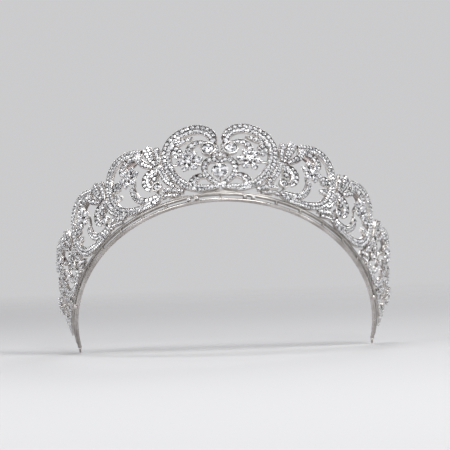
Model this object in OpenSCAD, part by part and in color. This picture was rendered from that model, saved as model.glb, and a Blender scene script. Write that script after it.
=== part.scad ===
// Scroll tiara: horseshoe frame, centre panel, three panels a side, tapered ends. Millimetres.

/* [Frame] */
// half width of the frame across the head
half_width = 75.5; // [70:0.5:82]
// distance from the head's centre to the front of the frame
front_reach = 98.7; // [88:0.1:106]
// outward lean of the panels at the front, in degrees
flare_front = 10.7; // [0:0.1:25]
// extra outward lean 100 mm along the frame, in degrees
flare_gain = 3.2; // [0:0.1:10]
// angle that the frame is tipped up when worn
worn_tilt = 40; // [0:1:60]
// thickness of the rail wire
rail_size = 1.7; // [1.2:0.1:2.6]
// height of the gallery strip
strip_height = 1.3; // [0.8:0.1:2.5]
// gap between strip and rail
rail_gap = 1.5; // [0.8:0.1:3]

/* [Ornament] */
// thickness of the scroll ribbons
ribbon_thick = 1.5; // [1:0.1:2.5]
// girdle radius of the main stone
stone_radius = 3.5; // [2.5:0.1:4]
// girdle radius of the stones in the two centre collets
collet_radius = 2.8; // [1.8:0.1:3]
// girdle radius of the stones in the side panels
panel_stone_radius = 1.9; // [1.4:0.1:2.4]
// how far the flowers stand in front of the scrolls
flower_proud = 2.6; // [1:0.1:5]
// number of petals in a flower
petals = 6; // [5:1:9]
// bore radius of the end eyelets
eyelet_bore = 1.0; // [0.6:0.1:1.6]

/* [Show] */
// which piece to show

/* [Hidden] */
$fn = 24;
steps = 3;
rail_end = 150;
METAL = [0.86, 0.86, 0.88];
GEM = [0.93, 0.95, 1.0];

// start along the frame, width scale and height scale of the three side panels
PANEL = [[26.2, 1.0, 1.0], [59.7, 1.03, 0.97], [96.0, 0.88, 0.93]];

// centre lines as [along, up, width]; the side panels share one drawing
BIG_SCROLL = [[3.0, 4.8, 2.0], [4.4, 2.7, 3.0], [8, 1.8, 3.4], [13, 1.9, 3.6], [18.5, 2.8, 4.0],
  [23.8, 4.9, 4.4], [27.8, 8.1, 4.6], [30.3, 11.6, 4.6], [31.8, 16, 4.4], [32, 21, 4.2], [31, 26, 4.2],
  [28.6, 30.4, 4.2], [24.8, 33.1, 4.2], [19.5, 34, 4.0], [14, 32.8, 3.8], [9.8, 31, 3.2]];
STEM = [[3.6, 5.8, 2.2], [5.4, 4.6, 2.8], [8.8, 4.3, 3.2], [12.6, 5.3, 3.5], [15.6, 7.8, 3.5],
  [17.4, 11.2, 3.3], [18.0, 15.2, 2.8]];
SIDE_LEAF = [[-4.2, 6.2, 2.0], [-2.2, 9.2, 3.4], [-0.2, 12.8, 3.8], [1.2, 16.6, 3.6], [2.6, 20.2, 2.4]];
CALYX_PETAL = [[4.4, 18.6, 2.4], [7.6, 18.0, 4.2], [9.6, 15.4, 4.8], [9.4, 12.2, 4.4], [7.8, 9.6, 2.4]];
CALYX_MID = [[4.6, 12.8, 2.6], [5.2, 14.8, 4.0], [5.0, 17.2, 3.8], [4.6, 19.4, 2.4]];
LOBE_1 = [[2.5, 20.6, 1.6], [2.2, 24.5, 2.8], [2.4, 28.2, 3.2], [2.6, 30.6, 2.4]];
LOBE_2 = [[3.6, 20.6, 1.8], [5.2, 25.0, 3.8], [6.5, 29.2, 4.8], [7.2, 32.4, 4.0]];
LOBE_3 = [[5.0, 20.6, 1.8], [8.4, 23.2, 3.0], [11.0, 26.0, 3.4], [12.0, 29.0, 3.6], [11.2, 31.2, 2.8]];
HOOD = [[11.0, 29.6, 2.4], [15.6, 30.0, 3.4], [19.6, 29.2, 3.9], [21.6, 26.6, 3.9], [21.2, 23.8, 2.4]];
BUD = [[31, 20.8, 2.4], [29.0, 20.9, 4.0], [27.0, 20.6, 5.0], [25.2, 19.8, 4.6], [24.2, 18.8, 2.6]];
LEAF = [[30.6, 15.0, 3.6], [28.4, 15.1, 3.6], [26.4, 14.6, 3.0], [24.8, 13.6, 1.6]];
TAIL_1 = [[-9, 2.8, 2.4], [-6, 4.0, 2.8], [-3, 5.4, 2.8], [0, 6.1, 2.4], [1.6, 5.0, 1.4]];
TAIL_2 = [[-7, 1.3, 1.6], [-3.5, 2.2, 2.0], [-0.6, 3.2, 2.2], [1.2, 2.9, 2.0], [1.4, 1.5, 1.4]];
C_SCROLL = [[2.7, 26.4, 3.2], [2.9, 30.0, 4.2], [5.0, 33.2, 4.7], [8.6, 35.0, 5.0], [12.6, 35.2, 5.0],
  [17.2, 34.0, 5.0], [21.2, 31.4, 5.0], [23.7, 27.6, 4.9], [24.5, 23.0, 4.8], [24.0, 18.4, 4.7],
  [22.4, 14.0, 4.4], [20.0, 10.0, 4.2], [17.2, 6.8, 4.2], [14.2, 4.4, 3.4], [12, 2.6, 2.0]];
C_WRAP = [[1.4, 26.2, 1.8], [1.2, 23.8, 1.8], [1.7, 21.4, 1.8], [2.8, 20.0, 1.6]];
INNER = [[5.6, 26.8, 2.0], [8.8, 27.6, 3.0], [11.8, 26.9, 3.2], [13.8, 24.3, 3.1], [14.0, 21.4, 2.6]];
SPRAY_TOP = [[22.0, 28.4, 2.4], [20.0, 29.2, 3.4], [17.0, 29.5, 3.2], [14.0, 30.0, 2.2],
  [11.4, 30.7, 0.9]];
SPRAY_LOW = [[22.4, 28.4, 2.4], [20.9, 27.0, 4.6], [19.6, 25.0, 5.4], [18.9, 22.9, 4.6],
  [18.8, 21.3, 2.6]];
HEART = [[0.0, 15.8, 2.2], [2.2, 17.3, 3.0], [4.7, 17.4, 3.2], [6.7, 15.6, 3.1], [7.1, 12.8, 3.0],
  [6.2, 9.7, 2.9], [4.3, 7.0, 2.8], [2.2, 5.1, 2.6], [0, 3.8, 2.0]];
CURL = [[6.2, 8.8, 2.2], [8.2, 9.2, 2.8], [10.8, 8.7, 3.8], [12.9, 6.6, 4.1], [12.4, 4.0, 4.1],
  [9.6, 2.9, 3.9], [6, 2.7, 3.4], [2.8, 2.9, 2.8], [0.7, 3.3, 2.0]];
ARCH = [[-3.6, 19.0, 2.0], [-1.8, 19.8, 2.4], [0, 20.5, 3.0], [1.8, 19.8, 2.4], [3.6, 19.0, 2.0]];
END_BASE = [[119, 1.9, 2.6], [127, 2.6, 3.0], [137, 3.6, 3.2], [146, 4.8, 2.8], [150, 5.4, 2.2]];
END_TOP = [[150.5, 6.4, 1.8], [148.4, 10.4, 3.0], [144.4, 15.0, 3.8], [138.6, 19.2, 4.2],
  [133.0, 22.4, 4.2], [128.4, 24.0, 3.0]];
END_STEM = [[121, 4.8, 2.2], [124, 6.6, 3.2], [127.5, 9.4, 3.5], [130, 12.4, 2.8]];
END_BAR = [[138.4, 5.6, 2.2], [141.6, 7.8, 3.2], [142.4, 11.0, 3.2], [140.2, 13.6, 2.2]];
END_HOOD = [[126.4, 13.8, 1.8], [128.0, 17.0, 3.0], [131.4, 18.2, 3.4], [135.0, 17.2, 2.4]];

// plan curve, its arc length table and the leaning surface that carries the ornament
function plan(t) = [half_width * sin(t), -front_reach * cos(t)];
ARC = [for (i = 0, s = 0; i <= 150; s = s + norm(plan(i + 1) - plan(i)), i = i + 1) [s, i]];
function turn(s) = sign(s) * lookup(abs(s), ARC);
function out2(t) = let (v = [front_reach * sin(t), -half_width * cos(t)]) v / norm(v);
function lean(s) = flare_front + flare_gain * pow(s / 100, 2);
function spot(s, h, p) = let (t = turn(s), n = out2(t), c = plan(t), f = lean(s),
  r = h * sin(f) + p * cos(f)) [c.x + r * n.x, c.y + r * n.y, h * cos(f) - p * sin(f)];

// smooth path through [along, up, width] points
function blend(a, b, c, d, t) = 0.5 * (2 * b + (c - a) * t + (2 * a - 5 * b + 4 * c - d) * t * t
  + (3 * b - a - 3 * c + d) * t * t * t);
function smooth(P, n) = let (L = len(P) - 1) concat([for (i = [0 : L - 1], k = [0 : n - 1])
  blend(i == 0 ? 2 * P[0] - P[1] : P[i - 1], P[i], P[i + 1],
    i == L - 1 ? 2 * P[L] - P[L - 1] : P[i + 2], k / n)], [P[L]]);
function fit_to(P, k) = [for (q = P) [k[0] + k[1] * q[0], k[2] * q[1], q[2] * (k[1] + k[2]) / 2]];
function across(C, i) = let (a = C[max(i - 1, 0)], b = C[min(i + 1, len(C) - 1)],
  v = [b.x - a.x, b.y - a.y]) [-v.y, v.x] / norm(v);

// four corners of a ribbon's section at each ring, skinned to a closed solid
module skin(rings) {
  n = len(rings);
  pts = [for (r = rings) each r];
  sides = [for (i = [0 : n - 2], j = [0 : 3]) let (a = 4 * i + j, b = 4 * i + (j + 1) % 4)
    each [[a, b, b + 4], [a, b + 4, a + 4]]];
  caps = [[3, 2, 1], [3, 1, 0], [4 * n - 4, 4 * n - 3, 4 * n - 2], [4 * n - 4, 4 * n - 2, 4 * n - 1]];
  polyhedron(pts, concat(sides, caps), convexity = 6);
}
module ribbon(P, front = 0, thick = ribbon_thick, n = steps) {
  C = smooth(P, n);
  skin([for (i = [0 : len(C) - 1]) let (c = C[i], v = across(C, i) * c[2] / 2)
    [spot(c.x + v.x, c.y + v.y, front), spot(c.x + v.x, c.y + v.y, front - thick),
     spot(c.x - v.x, c.y - v.y, front - thick), spot(c.x - v.x, c.y - v.y, front)]]);
}
module band(h0, h1, p0, p1, reach) {
  skin([for (s = [-reach : reach / 60 : reach])
    [spot(s, h1, p1), spot(s, h1, p0), spot(s, h0, p0), spot(s, h0, p1)]]);
}
// stands children on the surface: x along the frame, y up the panel, z out to the front
module stand(s, h, p) {
  o = spot(s, h, p);
  f = lean(s);
  n = out2(turn(s));
  multmatrix([[-n.y, sin(f) * n.x, cos(f) * n.x, o.x], [n.x, sin(f) * n.y, cos(f) * n.y, o.y],
    [0, cos(f), -sin(f), o.z], [0, 0, 0, 1]]) children();
}
module worn() rotate([-worn_tilt, 0, 0]) children();
module side(m) worn() mirror([m < 0 ? 1 : 0, 0, 0]) children();

// frame
strip_low = -strip_height;
rail_high = strip_low - rail_gap;
rail_low = rail_high - rail_size;
module frame_rail() color(METAL) worn() band(rail_low, rail_high, -2.0, -0.2, rail_end);
module gallery_strip() color(METAL) worn() {
  band(strip_low, 0, -1.9, -0.3, rail_end);
  for (m = [0, 1]) mirror([m, 0, 0]) ribbon([[15, 0.1, 0.5], [21, 0.3, 1.0], [25, 0.5, 1.4]], -0.4, 1.1);
  ribbon([[-11, 0, 0.5], [-5.5, 0.2, 1.0], [0, 0.7, 1.9], [5.5, 0.2, 1.0], [11, 0, 0.5]], -0.4, 1.1);
}
POSTS = [11.6, 15.6, 27.5, 41, 56, 72, 88, 104, 119, 134, 147];
module rail_posts() color(METAL) worn() {
  stand(0, rail_high - 0.2, -1.1) rotate([-90, 0, 0]) cylinder(h = rail_gap + 0.4, r = 0.6);
  for (m = [0, 1], s = POSTS) mirror([m, 0, 0]) stand(s, rail_high - 0.2, -1.1)
    rotate([-90, 0, 0]) cylinder(h = rail_gap + 0.4, r = s < 16 ? 1.0 : 0.75);
}
module frame_screws() color(METAL) worn() for (m = [0, 1]) mirror([m, 0, 0])
  stand(117, rail_high - 0.9, -0.3) { cylinder(h = 0.5, r = 1.5); translate([0, 0, 0.5])
    cylinder(h = 0.7, r1 = 1.5, r2 = 0.7); }
EYE = spot(rail_end + 1.6, rail_low + rail_size / 2, -1.1);
module end_eyelets() color(METAL) worn() for (m = [0, 1]) mirror([m, 0, 0])
  translate([EYE.x - 0.5, EYE.y, EYE.z]) rotate([0, 90, 0]) difference() {
    cylinder(h = 1, r = eyelet_bore + 0.9, $fn = 36);
    translate([0, 0, -1]) cylinder(h = 3, r = eyelet_bore, $fn = 36);
  }

// settings and stones
module brilliant(r) {
  cylinder(h = 0.12 * r, r = r);
  translate([0, 0, 0.12 * r]) cylinder(h = 0.32 * r, r1 = r, r2 = 0.56 * r);
  translate([0, 0, -0.5 * r]) cylinder(h = 0.5 * r, r1 = 0.35 * r, r2 = r);
}
module collet(r, tall) difference() {
  cylinder(h = tall, r1 = r * 0.9, r2 = r + 0.6);
  translate([0, 0, -1]) cylinder(h = tall + 2, r = r * 0.8);
  translate([0, 0, tall - 0.7]) cylinder(h = 1, r = r + 0.05);
}
module claw_setting(r) {
  difference() {
    cylinder(h = 2.2, r1 = r * 0.7, r2 = r + 0.5);
    translate([0, 0, -1]) cylinder(h = 4, r = r * 0.62);
    translate([0, 0, 1.5]) cylinder(h = 1, r = r + 0.05);
  }
  for (a = [30 : 60 : 330]) rotate(a) translate([r + 0.3, 0, 0.3]) cylinder(h = 2.6, r = 0.4);
}
module flower(r, lift) {
  translate([0, 0, 0.3]) cylinder(h = 0.7, r = r * 0.55);
  translate([0, 0, -lift - 1]) cylinder(h = lift + 1.4, r = 0.7);
  for (i = [0 : petals - 1]) rotate(i * 360 / petals) translate([r * 0.7, 0, 0])
    cylinder(h = 1.2, r1 = r * 0.16, r2 = r * 0.27);
  translate([0, 0, 0.8]) cylinder(h = 0.9, r1 = 0.7, r2 = r * 0.25);
}
module flower_stones(r) {
  for (i = [0 : petals - 1]) rotate(i * 360 / petals) translate([r * 0.7, 0, 1.2])
    cylinder(h = 0.5, r1 = r * 0.25, r2 = r * 0.15);
  translate([0, 0, 1.7]) cylinder(h = 0.5, r1 = r * 0.23, r2 = r * 0.14);
}
F_CENTRE = [13.0, 16.2, 5.6];
F_END = [133, 10.5, 4.2];
end_proud = flower_proud - 1;
function f_side(i) = let (k = PANEL[i]) [k[0] + k[1] * 16.2, k[2] * 18.8, 5.3 * (k[1] + k[2]) / 2];

// centre panel
module centre_scroll(m) color(METAL) side(m) { ribbon(C_SCROLL); ribbon(C_WRAP, -0.2, 1.2); }
module centre_scroll_l() centre_scroll(-1);
module centre_scroll_r() centre_scroll(1);
module centre_inner_scroll_l() color(METAL) side(-1) ribbon(INNER, 0.2);
module centre_inner_scroll_r() color(METAL) side(1) ribbon(INNER, 0.2);
module centre_leaf(m) color(METAL) side(m) { ribbon(SPRAY_TOP, 0.3); ribbon(SPRAY_LOW, 0.3); }
module centre_leaf_l() centre_leaf(-1);
module centre_leaf_r() centre_leaf(1);
module heart_frame() color(METAL) worn() for (m = [0, 1]) mirror([m, 0, 0]) ribbon(HEART, 0.3);
module base_curl_l() color(METAL) side(-1) ribbon(CURL, 0.35);
module base_curl_r() color(METAL) side(1) ribbon(CURL, 0.35);
module centre_arch() color(METAL) worn() ribbon(ARCH, 0.1);
module main_setting() color(METAL) worn() stand(0, 10.6, 0) {
  claw_setting(stone_radius);
  translate([0, 0, -1.4]) cylinder(h = 1.6, r = 0.9);
  for (a = [90, 270]) rotate(a) translate([1.5, -0.4, -1.2]) cube([5.2, 0.8, 0.8]);
}
module main_gem() color(GEM) worn() stand(0, 10.6, 1.72) brilliant(stone_radius);
module centre_collets() color(METAL) for (m = [-1, 1]) side(m) stand(4.9, 22.9, -1) collet(collet_radius, 2.8);
module centre_collet_gems() color(GEM) for (m = [-1, 1]) side(m) stand(4.9, 22.9, 1.12) brilliant(collet_radius);
module centre_flower(m) color(METAL) side(m) {
  stand(F_CENTRE[0], F_CENTRE[1], flower_proud) flower(F_CENTRE[2], flower_proud);
  ribbon([[8.2, 15.2, 0.9], [11, 16.1, 0.9], [16, 17.3, 0.9], [21.4, 18.4, 0.9]], -0.4, 0.9);
}
module centre_flower_l() centre_flower(-1);
module centre_flower_r() centre_flower(1);

// side panels
module panel_scroll(i, m) color(METAL) side(m) {
  ribbon(fit_to(BIG_SCROLL, PANEL[i]));
  ribbon(fit_to(STEM, PANEL[i]), 0.1);
}
module panel_palmette(i, m) color(METAL) side(m) for (P = [LOBE_1, LOBE_2, LOBE_3, HOOD])
  ribbon(fit_to(P, PANEL[i]), 0.4);
module panel_calyx(i, m) color(METAL) side(m) for (P = [SIDE_LEAF, CALYX_PETAL, CALYX_MID,
  TAIL_1, TAIL_2]) ribbon(fit_to(P, PANEL[i]), 0.2);
module panel_leaves(i, m) color(METAL) side(m) for (P = [BUD, LEAF])
  ribbon(fit_to(P, PANEL[i]), 0.2);
module panel_flower(i, m) color(METAL) side(m) {
  q = f_side(i);
  stand(q[0], q[1], flower_proud) flower(q[2], flower_proud);
  ribbon(fit_to([[16.4, 15.4, 0.9], [16.2, 19.5, 0.9], [18, 24, 0.9], [19.6, 28.6, 0.9]], PANEL[i]), -0.4, 0.9);
}
module panel1_scroll_l() panel_scroll(0, -1);
module panel1_palmette_l() panel_palmette(0, -1);
module panel1_calyx_l() panel_calyx(0, -1);
module panel1_leaves_l() panel_leaves(0, -1);
module panel1_flower_l() panel_flower(0, -1);
module panel1_scroll_r() panel_scroll(0, 1);
module panel1_palmette_r() panel_palmette(0, 1);
module panel1_calyx_r() panel_calyx(0, 1);
module panel1_leaves_r() panel_leaves(0, 1);
module panel1_flower_r() panel_flower(0, 1);
module panel2_scroll_l() panel_scroll(1, -1);
module panel2_palmette_l() panel_palmette(1, -1);
module panel2_calyx_l() panel_calyx(1, -1);
module panel2_leaves_l() panel_leaves(1, -1);
module panel2_flower_l() panel_flower(1, -1);
module panel2_scroll_r() panel_scroll(1, 1);
module panel2_palmette_r() panel_palmette(1, 1);
module panel2_calyx_r() panel_calyx(1, 1);
module panel2_leaves_r() panel_leaves(1, 1);
module panel2_flower_r() panel_flower(1, 1);
module panel3_scroll_l() panel_scroll(2, -1);
module panel3_palmette_l() panel_palmette(2, -1);
module panel3_calyx_l() panel_calyx(2, -1);
module panel3_leaves_l() panel_leaves(2, -1);
module panel3_flower_l() panel_flower(2, -1);
module panel3_scroll_r() panel_scroll(2, 1);
module panel3_palmette_r() panel_palmette(2, 1);
module panel3_calyx_r() panel_calyx(2, 1);
module panel3_leaves_r() panel_leaves(2, 1);
module panel3_flower_r() panel_flower(2, 1);
function c_side(i) = let (k = PANEL[i]) [k[0] + k[1] * 3.9, k[2] * 8.8];
module panel_collets() color(METAL) for (m = [-1, 1], i = [0 : 2]) side(m)
  stand(c_side(i)[0], c_side(i)[1], -1) collet(panel_stone_radius, 2);
module panel_collet_gems() color(GEM) for (m = [-1, 1], i = [0 : 2]) side(m)
  stand(c_side(i)[0], c_side(i)[1], 0.32) brilliant(panel_stone_radius);
module flower_gems() color(GEM) for (m = [-1, 1], q = [F_CENTRE, f_side(0), f_side(1), f_side(2), F_END])
  side(m) stand(q[0], q[1], q[0] > 130 ? end_proud : flower_proud) flower_stones(q[2]);

// end panels
module end_panel(m) color(METAL) side(m) {
  ribbon(END_BASE);
  for (P = [END_TOP, END_STEM, END_BAR, END_HOOD]) ribbon(P, 0.1);
}
module end_panel_l() end_panel(-1);
module end_panel_r() end_panel(1);
module end_flower(m) color(METAL) side(m) {
  stand(F_END[0], F_END[1], end_proud) flower(F_END[2], end_proud);
  ribbon([[131, 3.4, 0.9], [133, 10.5, 0.9], [134.6, 14.6, 0.9]], -0.4, 0.9);
}
module end_flower_l() end_flower(-1);
module end_flower_r() end_flower(1);

frame_rail();
gallery_strip();
rail_posts();
frame_screws();
end_eyelets();
centre_scroll_l();
centre_scroll_r();
centre_inner_scroll_l();
centre_inner_scroll_r();
centre_leaf_l();
centre_leaf_r();
heart_frame();
base_curl_l();
base_curl_r();
centre_arch();
main_setting();
main_gem();
centre_collets();
centre_collet_gems();
centre_flower_l();
centre_flower_r();
panel1_scroll_l();
panel1_palmette_l();
panel1_calyx_l();
panel1_leaves_l();
panel1_flower_l();
panel1_scroll_r();
panel1_palmette_r();
panel1_calyx_r();
panel1_leaves_r();
panel1_flower_r();
panel2_scroll_l();
panel2_palmette_l();
panel2_calyx_l();
panel2_leaves_l();
panel2_flower_l();
panel2_scroll_r();
panel2_palmette_r();
panel2_calyx_r();
panel2_leaves_r();
panel2_flower_r();
panel3_scroll_l();
panel3_palmette_l();
panel3_calyx_l();
panel3_leaves_l();
panel3_flower_l();
panel3_scroll_r();
panel3_palmette_r();
panel3_calyx_r();
panel3_leaves_r();
panel3_flower_r();
panel_collets();
panel_collet_gems();
flower_gems();
end_panel_l();
end_panel_r();
end_flower_l();
end_flower_r();
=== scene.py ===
import math
import bpy
import bmesh
import numpy as np
from mathutils import Matrix, Vector


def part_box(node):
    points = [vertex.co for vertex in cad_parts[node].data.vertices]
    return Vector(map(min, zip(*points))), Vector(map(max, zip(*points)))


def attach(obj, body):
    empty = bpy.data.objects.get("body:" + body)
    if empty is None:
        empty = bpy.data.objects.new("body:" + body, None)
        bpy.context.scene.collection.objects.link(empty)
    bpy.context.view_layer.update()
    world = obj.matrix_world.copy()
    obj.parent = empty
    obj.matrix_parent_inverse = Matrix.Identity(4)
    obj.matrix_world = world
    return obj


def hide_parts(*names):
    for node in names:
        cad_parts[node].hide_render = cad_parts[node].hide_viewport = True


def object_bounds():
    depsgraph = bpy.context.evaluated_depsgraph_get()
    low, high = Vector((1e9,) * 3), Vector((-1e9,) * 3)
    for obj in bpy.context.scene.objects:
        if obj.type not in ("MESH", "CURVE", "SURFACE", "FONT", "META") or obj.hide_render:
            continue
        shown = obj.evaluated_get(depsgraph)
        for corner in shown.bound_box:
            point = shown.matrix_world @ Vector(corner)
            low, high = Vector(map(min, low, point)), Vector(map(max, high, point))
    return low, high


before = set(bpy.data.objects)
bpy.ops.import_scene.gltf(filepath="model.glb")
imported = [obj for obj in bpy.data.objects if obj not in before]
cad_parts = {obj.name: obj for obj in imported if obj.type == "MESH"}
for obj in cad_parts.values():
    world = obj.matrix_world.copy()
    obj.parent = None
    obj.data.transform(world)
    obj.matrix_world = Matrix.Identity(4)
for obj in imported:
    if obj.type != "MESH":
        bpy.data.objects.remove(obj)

cad_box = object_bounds()

# ---------------------------------------------------------------- measures in mm
HALF_WIDTH, FRONT_REACH = 75.5, 98.7
FLARE_FRONT, FLARE_GAIN = 10.7, 3.2
TILT = math.radians(40)
STRIP_HEIGHT, RAIL_GAP, RAIL_SIZE = 1.3, 1.5, 1.7
RAIL_TOP = -STRIP_HEIGHT - RAIL_GAP
RAIL_LOW = RAIL_TOP - RAIL_SIZE
RAIL_END = 150
THICK = 1.5
PROUD = 2.6
PANELS = [(26.2, 1.0, 1.0), (59.7, 1.03, 0.97), (96.0, 0.88, 0.93)]  # start, along scale, up scale
MAIN_UP, MAIN_RADIUS = 10.6, 3.5
CENTRE_COLLET, CENTRE_COLLET_RADIUS, CENTRE_COLLET_RISE = (4.9, 22.9), 2.8, 0.8
SIDE_COLLET, SIDE_COLLET_RADIUS = (3.9, 8.8), 1.9
CENTRE_FLOWER, CENTRE_FLOWER_RADIUS = (13.0, 16.2), 5.6
SIDE_FLOWER, SIDE_FLOWER_RADIUS = (16.2, 18.8), 5.3
END_FLOWER, END_FLOWER_RADIUS = (133, 10.5), 4.2
POST_DEPTH, PAIRED_POST_RADIUS = -1.1, 1.0
SCREW_ALONG = 117
STONE_SIZE = 1.75
HOLE_SHADE_DEPTH = 0.45
# slots 1 and 2 of the metal work: painted shade in wells and channel floors, and the darker painted shade of
# a hollow leaf's lining
PAINTED_SHADE_FACES, LINING_PAINTED_SHADE_FACES = 1, 2

# centre lines as (along, up, width) in mm
BIG_SCROLL = [(3.0, 4.8, 2.0), (4.4, 2.7, 3.0), (8, 1.8, 3.4), (13, 1.9, 3.6), (18.5, 2.8, 4.0),
              (23.8, 4.9, 4.4), (27.8, 8.1, 4.6), (30.3, 11.6, 4.6), (31.8, 16, 4.4), (32, 21, 4.2),
              (31, 26, 4.2), (28.6, 30.4, 4.2), (24.8, 33.1, 4.2), (19.5, 34, 4.0), (14, 32.8, 3.8),
              (9.8, 31, 3.2)]
STEM = [(3.6, 5.8, 2.2), (5.4, 4.6, 2.8), (8.8, 4.3, 3.2), (12.6, 5.3, 3.5), (15.6, 7.8, 3.5),
        (17.4, 11.2, 3.3), (18.0, 15.2, 2.8)]
SIDE_LEAF = [(-4.2, 6.2, 2.0), (-2.2, 9.2, 3.4), (-0.2, 12.8, 3.8), (1.2, 16.6, 3.6), (2.6, 20.2, 2.4)]
CALYX_PETAL = [(4.4, 18.6, 2.4), (7.6, 18.0, 4.2), (9.6, 15.4, 4.8), (9.4, 12.2, 4.4), (7.8, 9.6, 2.4)]
CALYX_MID = [(4.6, 12.8, 2.6), (5.2, 14.8, 4.0), (5.0, 17.2, 3.8), (4.6, 19.4, 2.4)]
LOBE_1 = [(2.5, 20.6, 1.6), (2.2, 24.5, 2.8), (2.4, 28.2, 3.2), (2.6, 30.6, 2.4)]
LOBE_2 = [(3.6, 20.6, 1.8), (5.2, 25.0, 3.8), (6.5, 29.2, 4.8), (7.2, 32.4, 4.0)]
LOBE_3 = [(5.0, 20.6, 1.8), (8.4, 23.2, 3.0), (11.0, 26.0, 3.4), (12.0, 29.0, 3.6), (11.2, 31.2, 2.8)]
HOOD = [(11.0, 29.6, 2.4), (15.6, 30.0, 3.4), (19.6, 29.2, 3.9), (21.6, 26.6, 3.9), (21.2, 23.8, 2.4)]
BUD = [(31, 20.8, 2.4), (29.0, 20.9, 4.0), (27.0, 20.6, 5.0), (25.2, 19.8, 4.6), (24.2, 18.8, 2.6)]
LEAF = [(30.6, 15.0, 3.6), (28.4, 15.1, 3.6), (26.4, 14.6, 3.0), (24.8, 13.6, 1.6)]
TAIL_1 = [(-9, 2.8, 2.4), (-6, 4.0, 2.8), (-3, 5.4, 2.8), (0, 6.1, 2.4), (1.6, 5.0, 1.4)]
TAIL_2 = [(-7, 1.3, 1.6), (-3.5, 2.2, 2.0), (-0.6, 3.2, 2.2), (1.2, 2.9, 2.0), (1.4, 1.5, 1.4)]
C_SCROLL = [(2.7, 26.4, 3.2), (2.9, 30.0, 4.2), (5.0, 33.2, 4.7), (8.6, 35.0, 5.0), (12.6, 35.2, 5.0),
            (17.2, 34.0, 5.0), (21.2, 31.4, 5.0), (23.7, 27.6, 4.9), (24.5, 23.0, 4.8),
            (24.0, 18.4, 4.7), (22.4, 14.0, 4.4), (20.0, 10.0, 4.2), (17.2, 6.8, 4.2), (14.2, 4.4, 3.4),
            (12, 2.6, 2.0)]
C_WRAP = [(1.4, 26.2, 1.8), (1.2, 23.8, 1.8), (1.7, 21.4, 1.8), (2.8, 20.0, 1.6)]
INNER = [(5.6, 26.8, 2.0), (8.8, 27.6, 3.0), (11.8, 26.9, 3.2), (13.8, 24.3, 3.1), (14.0, 21.4, 2.6)]
SPRAY_TOP = [(22.0, 28.4, 2.4), (20.0, 29.2, 3.4), (17.0, 29.5, 3.2), (14.0, 30.0, 2.2),
             (11.4, 30.7, 0.9)]
SPRAY_LOW = [(22.4, 28.4, 2.4), (20.9, 27.0, 4.6), (19.6, 25.0, 5.4), (18.9, 22.9, 4.6),
             (18.8, 21.3, 2.6)]
HEART = [(0.0, 15.8, 2.2), (2.2, 17.3, 3.0), (4.7, 17.4, 3.2), (6.7, 15.6, 3.1), (7.1, 12.8, 3.0),
         (6.2, 9.7, 2.9), (4.3, 7.0, 2.8), (2.2, 5.1, 2.6), (0, 3.8, 2.0)]
CURL = [(6.2, 8.8, 2.2), (8.2, 9.2, 2.8), (10.8, 8.7, 3.8), (12.9, 6.6, 4.1), (12.4, 4.0, 4.1),
        (9.6, 2.9, 3.9), (6, 2.7, 3.4), (2.8, 2.9, 2.8), (0.7, 3.3, 2.0)]
ARCH = [(-3.6, 19.0, 2.0), (-1.8, 19.8, 2.4), (0, 20.5, 3.0), (1.8, 19.8, 2.4), (3.6, 19.0, 2.0)]
END_BASE = [(119, 1.9, 2.6), (127, 2.6, 3.0), (137, 3.6, 3.2), (146, 4.8, 2.8), (150, 5.4, 2.2)]
END_TOP = [(150.5, 6.4, 1.8), (148.4, 10.4, 3.0), (144.4, 15.0, 3.8), (138.6, 19.2, 4.2), (133.0, 22.4, 4.2),
           (128.4, 24.0, 3.0)]
END_STEM = [(121, 4.8, 2.2), (124, 6.6, 3.2), (127.5, 9.4, 3.5), (130, 12.4, 2.8)]
END_BAR = [(138.4, 5.6, 2.2), (141.6, 7.8, 3.2), (142.4, 11.0, 3.2), (140.2, 13.6, 2.2)]
END_HOOD = [(126.4, 13.8, 1.8), (128.0, 17.0, 3.0), (131.4, 18.2, 3.4), (135.0, 17.2, 2.4)]
HOOD_LINING = [(12.0, 27.2, 2.2), (15.0, 26.9, 3.8), (17.9, 25.7, 4.2), (19.6, 23.2, 2.4)]
POSTS = [11.6, 15.6, 27.5, 41, 56, 72, 88, 104, 119, 134, 147]


# ---------------------------------------------------------------- bending flat work round the frame
def arc_table():
    t = np.radians(np.arange(0, 151))
    x, y = HALF_WIDTH * np.sin(t), -FRONT_REACH * np.cos(t)
    return np.concatenate([[0], np.cumsum(np.hypot(np.diff(x), np.diff(y)))]), t


ARC_S, ARC_T = arc_table()


def bend(co):
    """Flat millimetres (along, up, out) to metres on the worn frame."""
    s, h, p = co[:, 0], co[:, 1], co[:, 2]
    t = np.sign(s) * np.interp(np.abs(s), ARC_S, ARC_T)
    px, py = HALF_WIDTH * np.sin(t), -FRONT_REACH * np.cos(t)
    nx, ny = FRONT_REACH * np.sin(t), -HALF_WIDTH * np.cos(t)
    size = np.hypot(nx, ny)
    nx, ny = nx / size, ny / size
    f = np.radians(FLARE_FRONT + FLARE_GAIN * (s / 100) ** 2)
    r = h * np.sin(f) + p * np.cos(f)
    x, y, z = px + r * nx, py + r * ny, h * np.cos(f) - p * np.sin(f)
    c, k = math.cos(TILT), math.sin(TILT)
    return np.stack([x, y * c + z * k, -y * k + z * c], 1) * 0.001


# ---------------------------------------------------------------- finishes
def new_finish(name):
    m = bpy.data.materials.new(name)
    m.use_nodes = True
    t = m.node_tree
    return m, t, t.nodes["Principled BSDF"]


def node(t, kind, **sockets):
    n = t.nodes.new(kind)
    for k, v in sockets.items():
        n.inputs[k.replace("_", " ")].default_value = v
    return n


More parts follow.
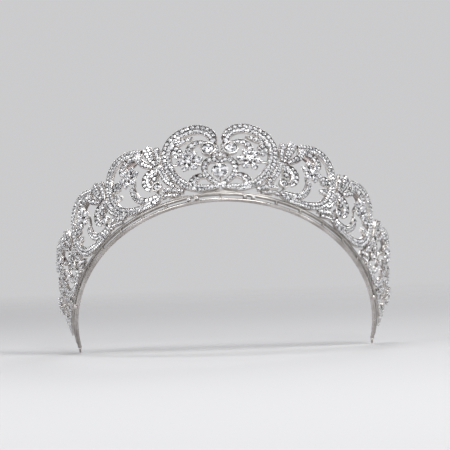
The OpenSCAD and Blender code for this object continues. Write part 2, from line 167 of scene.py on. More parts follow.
def white_metal(name, base, dark, rough, grain, bump):
    """Cast and polished white metal: cloudy tone, uneven polish and a fine grain."""
    m, t, bsdf = new_finish(name)
    at = t.nodes.new("ShaderNodeTexCoord")
    cloud = node(t, "ShaderNodeTexNoise", Scale=grain, Detail=4.0, Roughness=0.6)
    fine = node(t, "ShaderNodeTexNoise", Scale=grain * 9, Detail=2.0)
    t.links.new(at.outputs["Object"], cloud.inputs["Vector"])
    t.links.new(at.outputs["Object"], fine.inputs["Vector"])
    tone = t.nodes.new("ShaderNodeValToRGB")
    tone.color_ramp.elements[0].position, tone.color_ramp.elements[0].color = 0.32, (*dark, 1)
    tone.color_ramp.elements[1].position, tone.color_ramp.elements[1].color = 0.62, (*base, 1)
    t.links.new(cloud.outputs["Fac"], tone.inputs["Fac"])
    t.links.new(tone.outputs["Color"], bsdf.inputs["Base Color"])
    r = node(t, "ShaderNodeMapRange")
    r.inputs["To Min"].default_value, r.inputs["To Max"].default_value = rough * 0.7, rough * 1.5
    t.links.new(fine.outputs["Fac"], r.inputs["Value"])
    t.links.new(r.outputs["Result"], bsdf.inputs["Roughness"])
    b = node(t, "ShaderNodeBump", Strength=bump, Distance=0.00004)
    t.links.new(fine.outputs["Fac"], b.inputs["Height"])
    t.links.new(b.outputs["Normal"], bsdf.inputs["Normal"])
    bsdf.inputs["Metallic"].default_value = 1.0
    return m


def stone_painted_flashes(name, cell, low, high, metallic, rough):
    """Facets of a cut stone with painted reflections: each patch is painted a little lighter or darker than
    the next, standing in for the flash of light off the facets.
    """
    m, t, bsdf = new_finish(name)
    at = t.nodes.new("ShaderNodeTexCoord")
    cells = node(t, "ShaderNodeTexVoronoi", Scale=cell)
    t.links.new(at.outputs["Object"], cells.inputs["Vector"])
    split = t.nodes.new("ShaderNodeSeparateColor")
    t.links.new(cells.outputs["Color"], split.inputs["Color"])
    tone = t.nodes.new("ShaderNodeValToRGB")
    e = tone.color_ramp.elements
    e[0].position, e[0].color = 0.15, (*low, 1)
    e[1].position, e[1].color = 0.75, (*high, 1)
    t.links.new(split.outputs["Red"], tone.inputs["Fac"])
    t.links.new(tone.outputs["Color"], bsdf.inputs["Base Color"])
    bsdf.inputs["Metallic"].default_value = metallic
    bsdf.inputs["Roughness"].default_value = rough
    bsdf.inputs["Coat Weight"].default_value = 1.0
    bsdf.inputs["Coat Roughness"].default_value = 0.03
    bsdf.inputs["Coat IOR"].default_value = 1.9
    return m


SETTING = white_metal("setting_white_metal", (0.78, 0.76, 0.74), (0.50, 0.47, 0.45), 0.28, 260, 0.25)
# painted shade: a near-black copy of the white metal for wells, channel floors, hole mouths and flower plates
PAINTED_SHADE_METAL = white_metal("well_painted_shade", (0.14, 0.13, 0.125), (0.05, 0.045, 0.043), 0.5, 300, 0.3)
# painted shade: the gallery strip is a darker copy of the same white metal, toned down where it catches the
# top light
GALLERY_PAINTED_SHADE = white_metal("gallery_satin_painted_shade", (0.50, 0.48, 0.46), (0.30, 0.28, 0.27), 0.36, 120, 0.25)
# painted reflection: the rail is a darker, warmer copy of the white metal, standing in for the head form
# reflected in it
RAIL_PAINTED_REFLECTION = white_metal("rail_polished_painted_reflection", (0.62, 0.59, 0.57), (0.36, 0.33, 0.31), 0.27, 90, 0.2)
# painted shade: a darker, warmer copy of the white metal for the inside of the hollow leaf
HOLLOW_PAINTED_SHADE = white_metal("warm_hollow_painted_shade", (0.42, 0.375, 0.365), (0.20, 0.172, 0.165), 0.32, 200, 0.3)
# painted light on the stones: the highlight finishes paint the flash of lit facets, the shade finishes paint
# dark facets and the shade under the stones
PAVE_PAINTED_HIGHLIGHT = stone_painted_flashes("pave_painted_highlight_facets", 1100, (0.42, 0.42, 0.44), (0.96, 0.96, 0.97), 0.3, 0.12)
PAVE_PAINTED_SHADE = stone_painted_flashes("pave_painted_shade_facets", 1100, (0.08, 0.08, 0.09), (0.62, 0.62, 0.65), 0.5, 0.1)
STONE_PAINTED_HIGHLIGHT = stone_painted_flashes("large_stone_painted_highlight_facets", 700, (0.60, 0.61, 0.64), (0.98, 0.98, 1.0), 0.3, 0.06)
STONE_PAINTED_SHADE = stone_painted_flashes("large_stone_painted_shade_facets", 700, (0.05, 0.05, 0.06), (0.60, 0.61, 0.64), 0.6, 0.05)


# ---------------------------------------------------------------- building blocks, all flat in mm
def smooth_path(points, step):
    """Even stations along a smooth line: x, y, width, and the left-hand normal."""
    P = np.array(points, float)
    Q = np.vstack([2 * P[0] - P[1], P, 2 * P[-1] - P[-2]])
    out = []
    for i in range(1, len(Q) - 2):
        a, b, c, d = Q[i - 1], Q[i], Q[i + 1], Q[i + 2]
        for t in np.arange(12) / 12:
            out.append(0.5 * (2 * b + (c - a) * t + (2 * a - 5 * b + 4 * c - d) * t * t
                              + (3 * b - a - 3 * c + d) * t ** 3))
    out.append(P[-1])
    C = np.array(out)
    run = np.concatenate([[0], np.cumsum(np.hypot(*np.diff(C[:, :2], axis=0).T))])
    n = max(3, int(round(run[-1] / step)))
    at = np.linspace(0, run[-1], n + 1)
    S = np.stack([np.interp(at, run, C[:, k]) for k in range(3)], 1)
    d = np.gradient(S[:, :2], axis=0)
    d /= np.hypot(*d.T)[:, None]
    return S, np.stack([-d[:, 1], d[:, 0]], 1), run[-1]


def fit_to(points, k):
    return [(k[0] + k[1] * x, k[2] * y, w * (k[1] + k[2]) / 2) for x, y, w in points]


def channel(w, front, thick):
    """Section of a stone-set ribbon: polished step, two raised rims, a sunk floor and a hollow back."""
    e = min(1.0, w / 2.4)
    a, b = w / 2, w / 2 - 0.13 * e
    left = [(a, front - thick), (a, front - 0.72), (a - 0.08 * e, front - 0.6), (b, front - 0.56),
            (b, front - 0.12), (b - 0.07 * e, front), (b - 0.17 * e, front), (b - 0.24 * e, front - 0.34)]
    back = [(-(a - 0.45 * e), front - thick), (-(a - 0.6 * e), front - thick + 0.45),
            (a - 0.6 * e, front - thick + 0.45), (a - 0.45 * e, front - thick)]
    return left + [(0, front - 0.3)] + [(-u, p) for u, p in reversed(left)] + back


def crown(w, front, thick):
    """Section of a plain polished ribbon: softly domed front."""
    a = w / 2
    d = min(0.35 * a, 0.4)
    top = [(a * math.cos(q), front - d + d * math.sin(q)) for q in np.linspace(0.15, math.pi - 0.15, 7)]
    return [(a, front - thick)] + top + [(-a, front - thick)]


def dish(w, front, thick):
    """Section of a hollow leaf: a thin ribbed wall that curls in like a gutter."""
    a = w / 2
    inner = [(a * math.cos(q), front - 0.6 * math.sin(q) - 0.16 * abs(math.sin(3 * q)))
             for q in np.linspace(0, math.pi, 19)]
    return [(a + 0.12, front - 0.1)] + inner + [(-a - 0.12, front - 0.1), (-a * 0.5, front - 1.0),
                                                (a * 0.5, front - 1.0)]


def sweep(bm, points, front=0.0, thick=THICK, section=channel, step=0.55):
    """Draws a section along a path by extruding its ring from station to station."""
    S, N, _ = smooth_path(points, step)
    first = len(bm.faces)

    def ring_at(i):
        return [(S[i, 0] + N[i, 0] * u, S[i, 1] + N[i, 1] * u, p) for u, p in section(S[i, 2], front, thick)]

    ring = [bm.verts.new(c) for c in ring_at(0)]
    bm.faces.new(ring)
    edges = [bm.edges.get((ring[i - 1], ring[i])) for i in range(len(ring))]
    for i in range(1, len(S)):
        made = bmesh.ops.extrude_edge_only(bm, edges=edges)["geom"]
        fresh = {v for v in made if isinstance(v, bmesh.types.BMVert)}
        ring = [next(e.other_vert(v) for e in v.link_edges if e.other_vert(v) in fresh) for v in ring]
        for v, c in zip(ring, ring_at(i)):
            v.co = c
        edges = [bm.edges.get((ring[j - 1], ring[j])) for j in range(len(ring))]
    bm.faces.new(ring)
    bm.faces.ensure_lookup_table()
    for f in bm.faces[first:]:
        # the sunk floor of a stone-set channel gets painted shade
        if section is channel and all(front - 0.4 < v.co.z < front - 0.25 for v in f.verts):
            f.material_index = PAINTED_SHADE_FACES
        # a hollow leaf's lining gets its painted shade
        elif section is dish:
            f.material_index = LINING_PAINTED_SHADE_FACES


def bead(bm, at, r):
    bmesh.ops.create_icosphere(bm, subdivisions=1, radius=r, matrix=Matrix.Translation(at))


def beaded_edge(bm, points, front, gap=0.5, r=0.16):
    """Millegrain: a row of tiny beads along both rims."""
    S, N, _ = smooth_path(points, gap)
    for i in range(1, len(S) - 1):
        w = S[i, 2]
        if w < 1.0:
            continue
        for side in (1, -1):
            u = side * (w / 2 - 0.25 * min(1.0, w / 2.4))
            bead(bm, (S[i, 0] + N[i, 0] * u, S[i, 1] + N[i, 1] * u, front + 0.03), r * min(1.0, w / 2))


def facet_rings(rings, star=False):
    """A cut stone from rings of (sides, radius, height, turn) wrapped in flat facets; the pavilion and
    alternate crown facets take painted shade, the rest painted highlight.
    """
    bm = bmesh.new()
    for sides, r, z, turn in rings:
        if sides == 1:
            bm.verts.new((0, 0, z))
            continue
        bmesh.ops.create_circle(bm, segments=sides, radius=r,
                                matrix=Matrix.Translation((0, 0, z)) @ Matrix.Rotation(turn, 4, "Z"))
    bmesh.ops.convex_hull(bm, input=bm.verts[:])
    bmesh.ops.dissolve_limit(bm, angle_limit=0.01, verts=bm.verts[:], edges=bm.edges[:])
    bmesh.ops.recalc_face_normals(bm, faces=bm.faces[:])
    if star:
        table = max(bm.faces, key=lambda f: f.normal.z)
        bmesh.ops.inset_region(bm, faces=[table], thickness=0.22, depth=0.0)
        bmesh.ops.poke(bm, faces=[table], offset=-0.05)
    bm.normal_update()
    for f in bm.faces:
        c = f.calc_center_median()
        eighth = int(round(math.atan2(c.y, c.x) / (math.pi / 4) * 2)) % 4
        flat_top = f.normal.z > 0.97 and math.hypot(c.x, c.y) < 0.05
        # painted light on the facets: those facing down and every other pair of crown kites take the
        # painted-shade slot, the rest the painted-highlight slot
        f.material_index = 0 if flat_top else 1 if f.normal.z < 0.02 or eighth in (1, 2) else 0
    me = bpy.data.meshes.new("cut")
    bm.to_mesh(me)
    bm.free()
    return me


EIGHTH = math.pi / 8  # half the turn between two sides of an eight-sided ring
SINGLE_CUT = facet_rings([(8, 0.52, 0.40, 0), (8, 1.0, 0.06, EIGHTH), (8, 1.0, -0.04, EIGHTH),
                          (8, 0.5, -0.4, EIGHTH)])
BRILLIANT = facet_rings([(8, 0.56, 0.38, 0), (8, 0.80, 0.25, EIGHTH), (16, 1.0, 0.05, 0), (16, 1.0, -0.03, 0),
                         (8, 0.5, -0.45, 0), (1, 0, -0.8, 0)], star=True)
MAIN_CUT = facet_rings([(8, 0.54, 0.36, 0), (8, 0.70, 0.29, EIGHTH), (16, 0.86, 0.18, 0), (32, 1.0, 0.04, 0),
                        (32, 1.0, -0.03, 0), (16, 0.5, -0.42, 0), (1, 0, -0.75, 0)], star=True)


def set_stone(bm, cut, at, r, turn=0.0, stretch=1.0, taper=0.0, aim=0.0):
    """Puts one cut stone in the work; taper pulls one end in for a pear outline."""
    first = len(bm.verts)
    bm.from_mesh(cut)
    bm.verts.ensure_lookup_table()
    fresh = bm.verts[first:]
    bmesh.ops.rotate(bm, verts=fresh, matrix=Matrix.Rotation(turn, 3, "Z"))
    for v in fresh:
        x = v.co.x * stretch
        v.co = (x * r, v.co.y * r * (1 - taper * (1 - v.co.x) / 2), v.co.z * r)
    bmesh.ops.transform(bm, verts=fresh, matrix=Matrix.Translation(at) @ Matrix.Rotation(aim, 4, "Z"))


def shade(bm, first, above=-99):
    """Paints shade: gives the painted-shade finish of a well to the faces made since the first one that stand
    above a height.
    """
    bm.faces.ensure_lookup_table()
    for f in bm.faces[first:]:
        if f.calc_center_median().z > above:
            f.material_index = PAINTED_SHADE_FACES


def painted_hole_shade(bm, at, r):
    """Painted shade: a small dark disc standing for the shaded mouth of the hole bored from behind to let
    light into a stone.
    """
    first = len(bm.faces)
    bmesh.ops.create_cone(bm, cap_ends=True, segments=6, radius1=r, radius2=r, depth=0.05,
                          matrix=Matrix.Translation(at))
    shade(bm, first)


def pave(stones, grains, points, front, margin=0.36):
    """Rows of small stones down a ribbon, held by beads raised between them."""
    S, N, length = smooth_path(points, 0.2)
    run = np.linspace(0, length, len(S))
    at = 0.35
    count = 0
    while at < length - 0.3:
        w = float(np.interp(at, run, S[:, 2]))
        inner = w - 2 * margin * min(1.0, w / 2.4)
        rows = max(1, int(round(inner / STONE_SIZE)))
        r = inner / rows / 2 * 0.97
        if r < 0.22:
            at += 0.3
            continue
        here = at + r
        if here > length - 0.15:
            break
        for k in range(rows):
            u = (k - (rows - 1) / 2) * 2 * r * 1.02
            q = here + (r if (rows > 1 and k % 2) else 0) * 0.9
            q = min(q, length - r * 0.8)
            x, y = np.interp(q, run, S[:, 0]), np.interp(q, run, S[:, 1])
            nx, ny = np.interp(q, run, N[:, 0]), np.interp(q, run, N[:, 1])
            turn = math.atan2(ny, nx) + 0.4 * count
            set_stone(stones, SINGLE_CUT, (x + nx * u, y + ny * u, front - 0.03), r, turn)
            count += 1
            painted_hole_shade(grains, (x + nx * u, y + ny * u, front - THICK + HOLE_SHADE_DEPTH), r * 0.55)
            b = q + r
            x, y = np.interp(b, run, S[:, 0]), np.interp(b, run, S[:, 1])
            for side in (1, -1):
                v = u + side * r * 0.72
                bead(grains, (x + nx * v, y + ny * v, front + 0.06), 0.18)
        at += 2 * r * 1.02


def place(name, bm, finishes, slot, side=1, replaced=(), bent=True):
    """Bends the flat work round the frame, on the right (1) or left (-1), and hands it over as a piece."""
    me = bpy.data.meshes.new(name)
    if bent:
        bmesh.ops.remove_doubles(bm, verts=bm.verts[:], dist=1e-5)
    bmesh.ops.recalc_face_normals(bm, faces=bm.faces[:])
    bm.to_mesh(me)
    bm.free()
    co = np.empty(len(me.vertices) * 3, np.float64)
    me.vertices.foreach_get("co", co)
    co = co.reshape(-1, 3)
    co[:, 0] *= side
    me.vertices.foreach_set("co", bend(co).ravel() if bent else co.ravel())
    if side < 0:
        me.flip_normals()
    me.update()
    o = bpy.data.objects.new(name, me)
    bpy.context.scene.collection.objects.link(o)
    for finish in finishes:
        me.materials.append(finish)
    if slot != "gem":
        me.shade_smooth()
        me.set_sharp_from_angle(angle=math.radians(48))
    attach(o, "root")
    if replaced:
        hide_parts(*replaced)
    return o


METAL_WORK, SMALL_STONES, LARGE_STONES = [SETTING, PAINTED_SHADE_METAL, HOLLOW_PAINTED_SHADE], [PAVE_PAINTED_HIGHLIGHT, PAVE_PAINTED_SHADE], [STONE_PAINTED_HIGHLIGHT, STONE_PAINTED_SHADE]


def set_ribbons(name, ribbons, side, replaced, lining=None):
    """A group of stone-set ribbons that make one piece, and the stones in them."""
    metal, stones = bmesh.new(), bmesh.new()
    for points, front in ribbons:
        sweep(metal, points, front)
        beaded_edge(metal, points, front)
        pave(stones, metal, points, front)
    if lining:
        sweep(metal, lining, 0.1, 1.0, dish)
    place(name + "_metal", metal, METAL_WORK, "setting_metal", side, replaced)
    place(name + "_stones", stones, SMALL_STONES, "gem", side)


def rod(bm, a, b, r0, r1, sides=10):
    """Round bar from a to b."""
    a, b = Vector(a), Vector(b)
    d = b - a
    m = Matrix.Translation((a + b) / 2) @ d.to_track_quat("Z", "Y").to_matrix().to_4x4()
    bmesh.ops.create_cone(bm, cap_ends=True, segments=sides, radius1=r0, radius2=r1, depth=d.length, matrix=m)


def turned(bm, at, profile, sides=28):
    """A round setting turned on the lathe: profile of (radius, height) spun about the stone's axis."""
    x, y, z = at
    ring = [bm.verts.new((x + r, y, z + h)) for r, h in profile]
    edges = [bm.edges.new((ring[i - 1], ring[i])) for i in range(len(ring))]
    bmesh.ops.spin(bm, geom=ring + edges, cent=at, axis=(0, 0, 1), angle=math.tau, steps=sides,
                   use_merge=True)


def collet(metal, stones, at, r, rise, fill=0.88):
    """Rub-over collet: a bright rounded ring, painted shade in the well round the stone and a gallery foot.
    """
    x, y, z = at
    first = len(metal.faces)
    turned(metal, at, [(r * 0.68, rise), (r - 0.16, rise + 0.5), (r - 0.13, rise + 1.1), (r, rise + 1.32),
                       (r + 0.4, rise + 1.36), (r + 0.62, rise + 1.16), (r + 0.66, rise + 0.7),
                       (r + 0.44, rise * 0.6 + 0.1), (r + 0.52, -0.35), (r + 0.32, -1.0),
                       (r - 0.3, -1.0)], 36)
    metal.faces.ensure_lookup_table()
    for f in metal.faces[first:]:
        c = f.calc_center_median()
        # painted shade on the inner faces of the well round the stone
        if math.hypot(c.x - x, c.y - y) < r - 0.1 and c.z > z + rise - 0.1:
            f.material_index = PAINTED_SHADE_FACES
    set_stone(stones, BRILLIANT, (x, y, z + rise + 0.9), r * fill)


def claw(bm, base, tip, r):
    """A claw: tapered prong with a rounded end that folds over the stone."""
    rod(bm, base, tip, r * 1.25, r * 0.85, 8)
    bead(bm, tip, r * 1.2)


def flower(metal, stones, at, r, petals=6):
    """Flower head: a centre stone in a collet ringed by pear-shaped stones in claws."""
    x, y, z = at
    first = len(metal.faces)
    turned(metal, (x, y, z), [(0.5, 0.75), (r * 0.5, 0.75), (r * 0.56, 0.55), (r * 0.5, 0.3), (0.5, 0.3)], 24)
    # painted shade on the front face of the base plate behind the petals
    shade(metal, first, z + 0.7)
    a = r * 0.29
    for k in range(petals):
        q = math.tau * k / petals
        c, s = math.cos(q), math.sin(q)
        cx, cy = x + r * 0.64 * c, y + r * 0.64 * s
        cup = bmesh.new()
        turned(cup, (0, 0, 0), [(0.72, 0.5), (0.98, 0.86), (1.1, 0.92), (1.16, 0.7), (0.8, 0.1),
                                (0.55, 0.1)], 18)
        for v in cup.verts:
            pull = 1 - 0.45 * (1 - v.co.x) / 2
            v.co = (v.co.x * a * 1.22, v.co.y * a * pull, v.co.z * 1.1)
        bmesh.ops.transform(cup, verts=cup.verts[:], matrix=Matrix.Translation((cx, cy, z + 0.1))
                            @ Matrix.Rotation(q, 4, "Z"))
        me = bpy.data.meshes.new("cup")
        cup.to_mesh(me)
        cup.free()
        metal.from_mesh(me)
        bpy.data.meshes.remove(me)
        set_stone(stones, BRILLIANT, (cx, cy, z + 1.24), a, 0.0, 1.2, 0.42, q)
        for lx, ly in ((1.32, 0.0), (0.35, 0.98), (0.35, -0.98)):
            dx, dy = lx * c - ly * s, lx * s + ly * c
            px, py = cx + a * dx, cy + a * dy
            claw(metal, (px, py, z + 0.3), (px - a * 0.1 * dx, py - a * 0.1 * dy, z + 1.52), 0.19)
    turned(metal, (x, y, z + 0.6), [(r * 0.2, 0.75), (r * 0.26, 1.05), (r * 0.31, 1.05), (r * 0.32, 0.6),
                                    (0.5, 0.0), (0.3, 0.0)], 20)
    set_stone(stones, BRILLIANT, (x, y, z + 1.72), r * 0.26)
    for k in range(petals):
        q = math.tau * (k + 0.5) / petals
        claw(metal, (x + math.cos(q) * r * 0.29, y + math.sin(q) * r * 0.29, z + 1.0),
             (x + math.cos(q) * r * 0.25, y + math.sin(q) * r * 0.25, z + 1.88), 0.16)


# ---------------------------------------------------------------- centre panel
for side, tag in ((-1, "l"), (1, "r")):
    set_ribbons("centre_scroll_%s_set" % tag, [(C_SCROLL, 0.0), (C_WRAP, -0.2)], side,
                ["centre_scroll_" + tag])
    set_ribbons("inner_scroll_%s_set" % tag, [(INNER, 0.2)], side, ["centre_inner_scroll_" + tag])
    set_ribbons("leaf_spray_%s_set" % tag, [(SPRAY_TOP, 0.3), (SPRAY_LOW, 0.3)], side, ["centre_leaf_" + tag])
    set_ribbons("base_curl_%s_set" % tag, [(CURL, 0.35)], side, ["base_curl_" + tag])
set_ribbons("heart_set", [(HEART, 0.3), ([(-x, y, w) for x, y, w in HEART], 0.3)], 1, ["heart_frame"])
set_ribbons("arch_set", [(ARCH, 0.1)], 1, ["centre_arch"])

metal, stones = bmesh.new(), bmesh.new()
turned(metal, (0, MAIN_UP, 0), [(2.5, 1.7), (3.4, 1.95), (3.78, 1.9), (3.86, 1.55), (3.0, 0.2), (2.3, -0.4),
                                (2.0, -0.4), (2.2, 0.6)], 40)
for k in range(8):
    q = math.tau * (k + 0.5) / 8
    claw(metal, (math.cos(q) * 3.2, MAIN_UP + math.sin(q) * 3.2, 0.0),
         (math.cos(q) * 3.42, MAIN_UP + math.sin(q) * 3.42, 2.5), 0.3)
rod(metal, (0, 12.6, -0.8), (0, 16.8, -0.8), 0.42, 0.42)
rod(metal, (0, 8.6, -0.8), (0, 4.2, -0.8), 0.42, 0.42)
place("main_setting_work", metal, METAL_WORK, "setting_metal", 1, ["main_setting"])
set_stone(stones, MAIN_CUT, (0, MAIN_UP, 2.1), MAIN_RADIUS, EIGHTH)
place("main_stone", stones, LARGE_STONES, "gem", 1, ["main_gem"])

metal, stones = bmesh.new(), bmesh.new()
for m in (-1, 1):
    collet(metal, stones, (m * CENTRE_COLLET[0], CENTRE_COLLET[1], 0.0), CENTRE_COLLET_RADIUS,
           CENTRE_COLLET_RISE)
place("centre_collets_work", metal, METAL_WORK, "setting_metal", 1, ["centre_collets"])
place("centre_collet_stones", stones, LARGE_STONES, "gem", 1, ["centre_collet_gems"])


# ---------------------------------------------------------------- flowers
def flower_piece(name, at, r, bar, side, replaced, proud=PROUD):
    metal, stones = bmesh.new(), bmesh.new()
    flower(metal, stones, (at[0], at[1], proud), r)
    rod(metal, (at[0], at[1], -1.1), (at[0], at[1], proud + 0.5), 0.6, 0.5)
    sweep(metal, bar, -0.4, 0.9, crown)
    place(name + "_work", metal, METAL_WORK, "setting_metal", side, replaced)
    return place(name + "_stones", stones, LARGE_STONES, "gem", side)


first_stones = None
for side, tag in ((-1, "l"), (1, "r")):
    one = flower_piece("centre_flower_" + tag, CENTRE_FLOWER, CENTRE_FLOWER_RADIUS,
                       [(8.2, 15.2, 0.9), (11, 16.1, 0.9), (16, 17.3, 0.9), (21.4, 18.4, 0.9)], side,
                       ["centre_flower_" + tag])
    first_stones = first_stones or one
    for i, k in enumerate(PANELS):
        at = (k[0] + k[1] * SIDE_FLOWER[0], k[2] * SIDE_FLOWER[1])
        bar = fit_to([(16.4, 15.4, 0.9), (16.2, 19.5, 0.9), (18, 24, 0.9), (19.6, 28.6, 0.9)], k)
        flower_piece("panel%d_flower_%s" % (i + 1, tag), at, SIDE_FLOWER_RADIUS * (k[1] + k[2]) / 2, bar,
                     side, ["panel%d_flower_%s" % (i + 1, tag)])
    flower_piece("end_flower_" + tag, END_FLOWER, END_FLOWER_RADIUS,
                 [(131, 3.4, 0.9), (*END_FLOWER, 0.9), (134.6, 14.6, 0.9)], side,
                 ["end_flower_" + tag], PROUD - 1)
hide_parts("flower_gems")

# ---------------------------------------------------------------- side panels and ends
for side, tag in ((-1, "l"), (1, "r")):
    for i, k in enumerate(PANELS):
        p = "panel%d_" % (i + 1)
        set_ribbons(p + "scroll_%s_set" % tag, [(fit_to(BIG_SCROLL, k), 0.0), (fit_to(STEM, k), 0.1)], side,
                    [p + "scroll_" + tag])
        set_ribbons(p + "palmette_%s_set" % tag,
                    [(fit_to(q, k), 0.4) for q in (LOBE_1, LOBE_2, LOBE_3, HOOD)],
                    side, [p + "palmette_" + tag], lining=fit_to(HOOD_LINING, k))
        set_ribbons(p + "calyx_%s_set" % tag,
                    [(fit_to(q, k), 0.2) for q in (SIDE_LEAF, CALYX_PETAL, CALYX_MID, TAIL_1, TAIL_2)],
                    side, [p + "calyx_" + tag])
        set_ribbons(p + "leaves_%s_set" % tag, [(fit_to(q, k), 0.2) for q in (BUD, LEAF)], side,
                    [p + "leaves_" + tag])
    set_ribbons("end_panel_%s_set" % tag,
                [(END_BASE, 0.0)] + [(q, 0.1) for q in (END_TOP, END_STEM, END_BAR, END_HOOD)],
                side, ["end_panel_" + tag])

metal, stones = bmesh.new(), bmesh.new()
for m in (-1, 1):
    for k in PANELS:
        collet(metal, stones, (m * (k[0] + k[1] * SIDE_COLLET[0]), k[2] * SIDE_COLLET[1], 0.0),
               SIDE_COLLET_RADIUS, 0.3, 0.76)
place("panel_collets_work", metal, METAL_WORK, "setting_metal", 1, ["panel_collets"])
place("panel_collet_stones", stones, LARGE_STONES, "gem", 1, ["panel_collet_gems"])

# ---------------------------------------------------------------- frame
def wire(w, front, thick):
    """Half-round section for the rail: flat inside against the head, round outside."""
    a = w / 2
    outer = [(a * math.cos(q), front - 0.9 + 0.9 * math.sin(q)) for q in np.linspace(-0.3, math.pi + 0.3, 11)]
    return outer + [(-a * 0.8, front - thick), (a * 0.8, front - thick)]


def strap(w, front, thick):
    """Flat section with eased corners for the gallery strip."""
    a, e = w / 2, 0.14
    return [(a, front - thick + e), (a, front - e), (a - e, front), (-a + e, front), (-a, front - e),
            (-a, front - thick + e), (-a + e, front - thick), (a - e, front - thick)]


mid = RAIL_LOW + RAIL_SIZE / 2
bm = bmesh.new()
round_frame = np.linspace(-RAIL_END, RAIL_END, 41)
sweep(bm, [(s, mid, RAIL_SIZE) for s in round_frame], -0.2, 1.8, wire, 1.2)
place("frame_rail_wire", bm, [RAIL_PAINTED_REFLECTION], "rail_metal", 1, ["frame_rail"])
bm = bmesh.new()
sweep(bm, [(s, -STRIP_HEIGHT / 2, STRIP_HEIGHT) for s in round_frame], -0.3, 1.6, strap, 1.2)
for m in (-1, 1):
    sweep(bm, [(m * 15, 0.1, 0.5), (m * 21, 0.3, 1.0), (m * 25, 0.5, 1.4)], -0.4, 1.1, strap)
sweep(bm, [(-11, 0, 0.5), (-5.5, 0.2, 1.0), (0, 0.7, 1.9), (5.5, 0.2, 1.0), (11, 0, 0.5)], -0.4, 1.1, strap)
place("gallery_strip_work", bm, [GALLERY_PAINTED_SHADE], "rail_metal", 1, ["gallery_strip"])

bm, stones = bmesh.new(), bmesh.new()
for s in sorted([0] + POSTS + [-q for q in POSTS]):
    r = PAIRED_POST_RADIUS if 0 < abs(s) < 16 else 0.75 if s else 0.6
    lo, hi = RAIL_TOP - 0.2, -STRIP_HEIGHT + 0.2
    c = (lo + hi) / 2
    rod(bm, (s, lo, POST_DEPTH), (s, hi, POST_DEPTH), r * 0.8, r * 0.8, 16)
    for h0, h1 in ((lo, lo + 0.5), (hi - 0.5, hi), (c - 0.16, c + 0.16)):
        rod(bm, (s, h0, POST_DEPTH), (s, h1, POST_DEPTH), r, r, 16)
    if r == PAIRED_POST_RADIUS:
        turned(bm, (s, c, -0.2), [(0.5, 0.0), (0.62, 0.35), (0.8, 0.42), (1.0, 0.3), (1.0, -0.3),
                                  (0.5, -0.3)], 20)
        set_stone(stones, SINGLE_CUT, (s, c, 0.12), 0.66)
place("rail_posts_work", bm, [GALLERY_PAINTED_SHADE], "rail_metal", 1, ["rail_posts"])
place("rail_post_stones", stones, SMALL_STONES, "gem", 1)

bm = bmesh.new()
for m in (-1, 1):
    x, y = m * SCREW_ALONG, RAIL_TOP - 0.9
    turned(bm, (x, y, -0.3), [(0.3, 0), (1.5, 0), (1.5, 0.4), (1.38, 0.7), (1.0, 1.0), (0.5, 1.16),
                              (0.3, 1.18)], 28)
    rod(bm, (x, y, -0.2), (x, y, 1.0), 0.42, 0.42, 12)
place("frame_screw_heads", bm, [RAIL_PAINTED_REFLECTION], "rail_metal", 1, ["frame_screws"])

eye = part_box("end_eyelets")
ex, ey, ez = eye[1].x - 0.0005, (eye[0].y + eye[1].y) / 2, (eye[0].z + eye[1].z) / 2
bm = bmesh.new()
for m in (-1, 1):
    first = len(bm.verts)
    turned(bm, (0, 0, 0), [(1.0, -0.35), (1.0, 0.35), (1.15, 0.5), (1.7, 0.5), (1.9, 0.3), (1.9, -0.3),
                           (1.7, -0.5), (1.15, -0.5)], 32)
    bm.verts.ensure_lookup_table()
    bmesh.ops.transform(bm, verts=bm.verts[first:], matrix=Matrix.Translation((m * ex, ey, ez))
                        @ Matrix.Rotation(math.pi / 2, 4, "Y") @ Matrix.Scale(0.001, 4))
place("end_eyelet_rings", bm, [RAIL_PAINTED_REFLECTION], "rail_metal", 1, ["end_eyelets"], bent=False)

# ---------------------------------------------------------------- floor, light and camera
low = cad_box[0][2]
bm = bmesh.new()
bmesh.ops.create_circle(bm, cap_ends=True, segments=96, radius=1.6,
                        matrix=Matrix.Translation((0, 0, low - 0.0003)))
me = bpy.data.meshes.new("pale_floor")
bm.to_mesh(me)
bm.free()
floor = bpy.data.objects.new("pale_floor", me)
bpy.context.scene.collection.objects.link(floor)
pale, t, bsdf = new_finish("pale_paper")
bsdf.inputs["Base Color"].default_value = (0.6, 0.6, 0.61, 1)
bsdf.inputs["Roughness"].default_value = 0.9
bsdf.inputs["Specular IOR Level"].default_value = 0.15
at = t.nodes.new("ShaderNodeTexCoord")
away = t.nodes.new("ShaderNodeVectorMath")
away.operation = "LENGTH"
t.links.new(at.outputs["Object"], away.inputs[0])
fade = node(t, "ShaderNodeMapRange", From_Min=0.35, From_Max=1.5, To_Min=1.0, To_Max=0.0)
fade.interpolation_type = "SMOOTHSTEP"
t.links.new(away.outputs["Value"], fade.inputs["Value"])
t.links.new(fade.outputs["Result"], bsdf.inputs["Alpha"])
me.materials.append(pale)


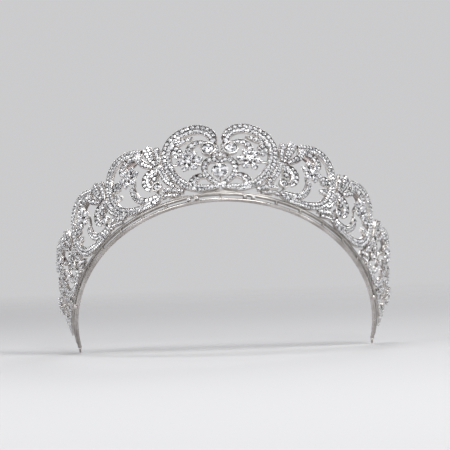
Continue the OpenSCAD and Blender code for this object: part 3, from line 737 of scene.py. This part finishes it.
def softbox(name, at, aim, size, power, tone=(1, 1, 1)):
    data = bpy.data.lights.new(name, "AREA")
    data.shape, data.size, data.size_y = "RECTANGLE", size[0], size[1]
    data.energy, data.color = power, tone
    o = bpy.data.objects.new(name, data)
    o.location = at
    o.rotation_euler = (Vector(aim) - Vector(at)).to_track_quat("-Z", "Y").to_euler()
    bpy.context.scene.collection.objects.link(o)


softbox("key_light", (0.65, -1.0, 1.0), (0, -0.05, 0.04), (0.42, 0.42), 12)
softbox("fill_light", (-0.9, -0.95, 0.5), (0, -0.05, 0.04), (0.3, 0.6), 5)
softbox("top_light", (-0.1, -0.1, 1.1), (0, -0.03, 0.03), (0.6, 0.35), 4)
softbox("front_light", (0.2, -1.6, 0.6), (0, 0, 0.04), (0.16, 0.3), 5)
softbox("glint_right", (0.9, -0.35, 0.25), (0, -0.03, 0.04), (0.08, 0.6), 1.4)
softbox("glint_left", (-0.8, -0.2, 0.5), (0, -0.03, 0.04), (0.08, 0.6), 1.2)
softbox("back_light", (0.3, 1.3, 0.8), (0, -0.02, 0.03), (0.5, 0.4), 5)

# the surround is pale at eye level, where it meets the floor, and darker overhead,
# so polished faces have contrast
world = bpy.data.worlds.new("studio")
world.use_nodes = True
w = world.node_tree
at = w.nodes.new("ShaderNodeTexCoord")
axes = w.nodes.new("ShaderNodeSeparateXYZ")
w.links.new(at.outputs["Generated"], axes.inputs["Vector"])
sky = w.nodes.new("ShaderNodeValToRGB")
e = sky.color_ramp.elements
e[0].position, e[0].color = 0.10, (0.60, 0.60, 0.61, 1)
e[1].position, e[1].color = 0.55, (0.16, 0.16, 0.165, 1)
w.links.new(axes.outputs["Z"], sky.inputs["Fac"])
w.links.new(sky.outputs["Color"], w.nodes["Background"].inputs["Color"])
bpy.context.scene.world = world
bpy.context.scene.view_settings.view_transform = "Standard"

cam = bpy.data.cameras.new("camera")
cam.sensor_width, cam.lens = 36.0, 232.1
cam.clip_start, cam.clip_end = 0.05, 20
eye_at = bpy.data.objects.new("camera", cam)
eye_at.matrix_world = (Matrix.Translation((0.0044, -1.4344, 0.0464))
                       @ Matrix.Rotation(math.radians(0.12), 4, "Z")
                       @ Matrix.Rotation(math.radians(90.055), 4, "X")
                       @ Matrix.Rotation(math.radians(-1.845), 4, "Z"))
bpy.context.scene.collection.objects.link(eye_at)
bpy.context.scene.camera = eye_at
